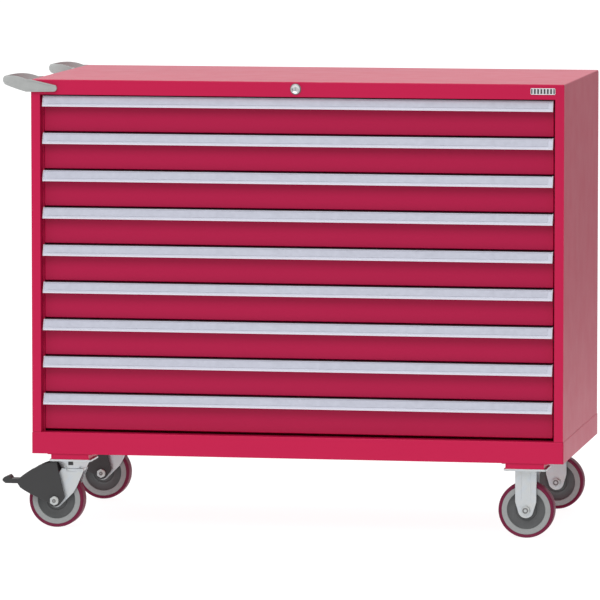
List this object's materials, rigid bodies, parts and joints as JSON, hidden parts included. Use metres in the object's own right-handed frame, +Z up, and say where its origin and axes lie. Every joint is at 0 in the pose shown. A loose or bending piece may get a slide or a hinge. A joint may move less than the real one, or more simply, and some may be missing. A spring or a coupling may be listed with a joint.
{
  "type": "rolling tool chest",
  "caption": "Low wide tool chest on casters: full-width drawers with aluminium pulls, key lock, side push handles, rigid casters right, braked swivel casters left.",
  "frame": {"origin": "bottom centre of the whole object's box, on the floor; the middle of the housing is 44.85 mm towards +X", "axes": "+Z up, the drawers open towards -Y, +X is the user's right when facing the drawers"},
  "size_m": [1.5274, 0.7346, 1.217],
  "materials": {
    "red_frame": "gloss powder coat",
    "red_drawer": "semi-gloss powder coat",
    "pull_aluminium": "satin anodised extrusion",
    "galvanised": "zinc-plated rolled steel",
    "cast_grey": "satin cast alloy",
    "zinc": "bright zinc plate",
    "dark_steel": "dark grey satin paint",
    "wheel_tread": "polyurethane tread on a grey moulded core",
    "lock_chrome": "polished",
    "plate_grey": "brushed blank plate"
  },
  "bodies": {
    "root": {"housing_shell": "red_frame", "base_frame": "red_frame", "name_plate": "plate_grey", "push_handle_front": "cast_grey", "push_handle_rear": "cast_grey", "bracket_right_front": "zinc", "axle_right_front": "zinc", "bracket_right_rear": "zinc", "axle_right_rear": "zinc", "swivel_plate_left_front": "zinc", "swivel_plate_left_rear": "zinc"},
    "drawer_1": {"drawer_tray_1": "red_drawer", "drawer_pull_1": "pull_aluminium"},
    "carriage_pair_1": {"carriage_left_1": "galvanised", "carriage_right_1": "galvanised"},
    "drawer_2": {"drawer_tray_2": "red_drawer", "drawer_pull_2": "pull_aluminium"},
    "carriage_pair_2": {"carriage_left_2": "galvanised", "carriage_right_2": "galvanised"},
    "drawer_3": {"drawer_tray_3": "red_drawer", "drawer_pull_3": "pull_aluminium"},
    "carriage_pair_3": {"carriage_left_3": "galvanised", "carriage_right_3": "galvanised"},
    "drawer_4": {"drawer_tray_4": "red_drawer", "drawer_pull_4": "pull_aluminium"},
    "carriage_pair_4": {"carriage_left_4": "galvanised", "carriage_right_4": "galvanised"},
    "drawer_5": {"drawer_tray_5": "red_drawer", "drawer_pull_5": "pull_aluminium"},
    "carriage_pair_5": {"carriage_left_5": "galvanised", "carriage_right_5": "galvanised"},
    "drawer_6": {"drawer_tray_6": "red_drawer", "drawer_pull_6": "pull_aluminium"},
    "carriage_pair_6": {"carriage_left_6": "galvanised", "carriage_right_6": "galvanised"},
    "drawer_7": {"drawer_tray_7": "red_drawer", "drawer_pull_7": "pull_aluminium"},
    "carriage_pair_7": {"carriage_left_7": "galvanised", "carriage_right_7": "galvanised"},
    "drawer_8": {"drawer_tray_8": "red_drawer", "drawer_pull_8": "pull_aluminium"},
    "carriage_pair_8": {"carriage_left_8": "galvanised", "carriage_right_8": "galvanised"},
    "drawer_9": {"drawer_tray_9": "red_drawer", "drawer_pull_9": "pull_aluminium"},
    "carriage_pair_9": {"carriage_left_9": "galvanised", "carriage_right_9": "galvanised"},
    "lock": {"lock_cylinder": "lock_chrome"},
    "swivel_front": {"fork_left_front": "zinc", "brake_cover_left_front": "dark_steel", "axle_left_front": "zinc"},
    "swivel_wheel_front": {"wheel_left_front": "wheel_tread"},
    "brake_front": {"brake_pedal_left_front": "dark_steel"},
    "rigid_wheel_front": {"wheel_right_front": "wheel_tread"},
    "swivel_rear": {"fork_left_rear": "zinc", "brake_cover_left_rear": "dark_steel", "axle_left_rear": "zinc"},
    "swivel_wheel_rear": {"wheel_left_rear": "wheel_tread"},
    "brake_rear": {"brake_pedal_left_rear": "dark_steel"},
    "rigid_wheel_rear": {"wheel_right_rear": "wheel_tread"}
  },
  "joints": [
    {"name": "drawer_1_slide", "type": "slide", "parent": "root", "child": "drawer_1", "axis": [0, -1, 0], "range_m": [0, 0.6]},
    {"name": "carriage_1_slide", "type": "slide", "parent": "root", "child": "carriage_pair_1", "axis": [0, -1, 0], "range_m": [0, 0.3]},
    {"name": "drawer_2_slide", "type": "slide", "parent": "root", "child": "drawer_2", "axis": [0, -1, 0], "range_m": [0, 0.6]},
    {"name": "carriage_2_slide", "type": "slide", "parent": "root", "child": "carriage_pair_2", "axis": [0, -1, 0], "range_m": [0, 0.3]},
    {"name": "drawer_3_slide", "type": "slide", "parent": "root", "child": "drawer_3", "axis": [0, -1, 0], "range_m": [0, 0.6]},
    {"name": "carriage_3_slide", "type": "slide", "parent": "root", "child": "carriage_pair_3", "axis": [0, -1, 0], "range_m": [0, 0.3]},
    {"name": "drawer_4_slide", "type": "slide", "parent": "root", "child": "drawer_4", "axis": [0, -1, 0], "range_m": [0, 0.6]},
    {"name": "carriage_4_slide", "type": "slide", "parent": "root", "child": "carriage_pair_4", "axis": [0, -1, 0], "range_m": [0, 0.3]},
    {"name": "drawer_5_slide", "type": "slide", "parent": "root", "child": "drawer_5", "axis": [0, -1, 0], "range_m": [0, 0.6]},
    {"name": "carriage_5_slide", "type": "slide", "parent": "root", "child": "carriage_pair_5", "axis": [0, -1, 0], "range_m": [0, 0.3]},
    {"name": "drawer_6_slide", "type": "slide", "parent": "root", "child": "drawer_6", "axis": [0, -1, 0], "range_m": [0, 0.6]},
    {"name": "carriage_6_slide", "type": "slide", "parent": "root", "child": "carriage_pair_6", "axis": [0, -1, 0], "range_m": [0, 0.3]},
    {"name": "drawer_7_slide", "type": "slide", "parent": "root", "child": "drawer_7", "axis": [0, -1, 0], "range_m": [0, 0.6]},
    {"name": "carriage_7_slide", "type": "slide", "parent": "root", "child": "carriage_pair_7", "axis": [0, -1, 0], "range_m": [0, 0.3]},
    {"name": "drawer_8_slide", "type": "slide", "parent": "root", "child": "drawer_8", "axis": [0, -1, 0], "range_m": [0, 0.6]},
    {"name": "carriage_8_slide", "type": "slide", "parent": "root", "child": "carriage_pair_8", "axis": [0, -1, 0], "range_m": [0, 0.3]},
    {"name": "drawer_9_slide", "type": "slide", "parent": "root", "child": "drawer_9", "axis": [0, -1, 0], "range_m": [0, 0.6]},
    {"name": "carriage_9_slide", "type": "slide", "parent": "root", "child": "carriage_pair_9", "axis": [0, -1, 0], "range_m": [0, 0.3]},
    {"name": "lock_turn", "type": "hinge", "parent": "root", "child": "lock", "pos_m": [0.04485, -0.359, 1.189], "axis": [0, -1, 0], "range_deg": [0, 90]},
    {"name": "swivel_front_turn", "type": "hinge", "parent": "root", "child": "swivel_front", "pos_m": [-0.57045, -0.306, 0.16], "axis": [0, 0, 1], "continuous": true},
    {"name": "swivel_wheel_front_roll", "type": "hinge", "parent": "swivel_front", "child": "swivel_wheel_front", "pos_m": [-0.61465, -0.306, 0.075], "axis": [0, 1, 0], "continuous": true},
    {"name": "brake_front_press", "type": "hinge", "parent": "swivel_front", "child": "brake_front", "pos_m": [-0.69265, -0.306, 0.122], "axis": [0, -1, 0], "range_deg": [0, 12]},
    {"name": "rigid_wheel_front_roll", "type": "hinge", "parent": "root", "child": "rigid_wheel_front", "pos_m": [0.66015, -0.306, 0.075], "axis": [0, 1, 0], "continuous": true},
    {"name": "swivel_rear_turn", "type": "hinge", "parent": "root", "child": "swivel_rear", "pos_m": [-0.57045, 0.306, 0.16], "axis": [0, 0, 1], "continuous": true},
    {"name": "swivel_wheel_rear_roll", "type": "hinge", "parent": "swivel_rear", "child": "swivel_wheel_rear", "pos_m": [-0.61465, 0.306, 0.075], "axis": [0, 1, 0], "continuous": true},
    {"name": "brake_rear_press", "type": "hinge", "parent": "swivel_rear", "child": "brake_rear", "pos_m": [-0.69265, 0.306, 0.122], "axis": [0, -1, 0], "range_deg": [0, 12]},
    {"name": "rigid_wheel_rear_roll", "type": "hinge", "parent": "root", "child": "rigid_wheel_rear", "pos_m": [0.66015, 0.306, 0.075], "axis": [0, 1, 0], "continuous": true}
  ],
  "couplings": [
    {"joint": "carriage_1_slide", "follows": "drawer_1_slide", "ratio": 0.5},
    {"joint": "carriage_2_slide", "follows": "drawer_2_slide", "ratio": 0.5},
    {"joint": "carriage_3_slide", "follows": "drawer_3_slide", "ratio": 0.5},
    {"joint": "carriage_4_slide", "follows": "drawer_4_slide", "ratio": 0.5},
    {"joint": "carriage_5_slide", "follows": "drawer_5_slide", "ratio": 0.5},
    {"joint": "carriage_6_slide", "follows": "drawer_6_slide", "ratio": 0.5},
    {"joint": "carriage_7_slide", "follows": "drawer_7_slide", "ratio": 0.5},
    {"joint": "carriage_8_slide", "follows": "drawer_8_slide", "ratio": 0.5},
    {"joint": "carriage_9_slide", "follows": "drawer_9_slide", "ratio": 0.5}
  ]
}
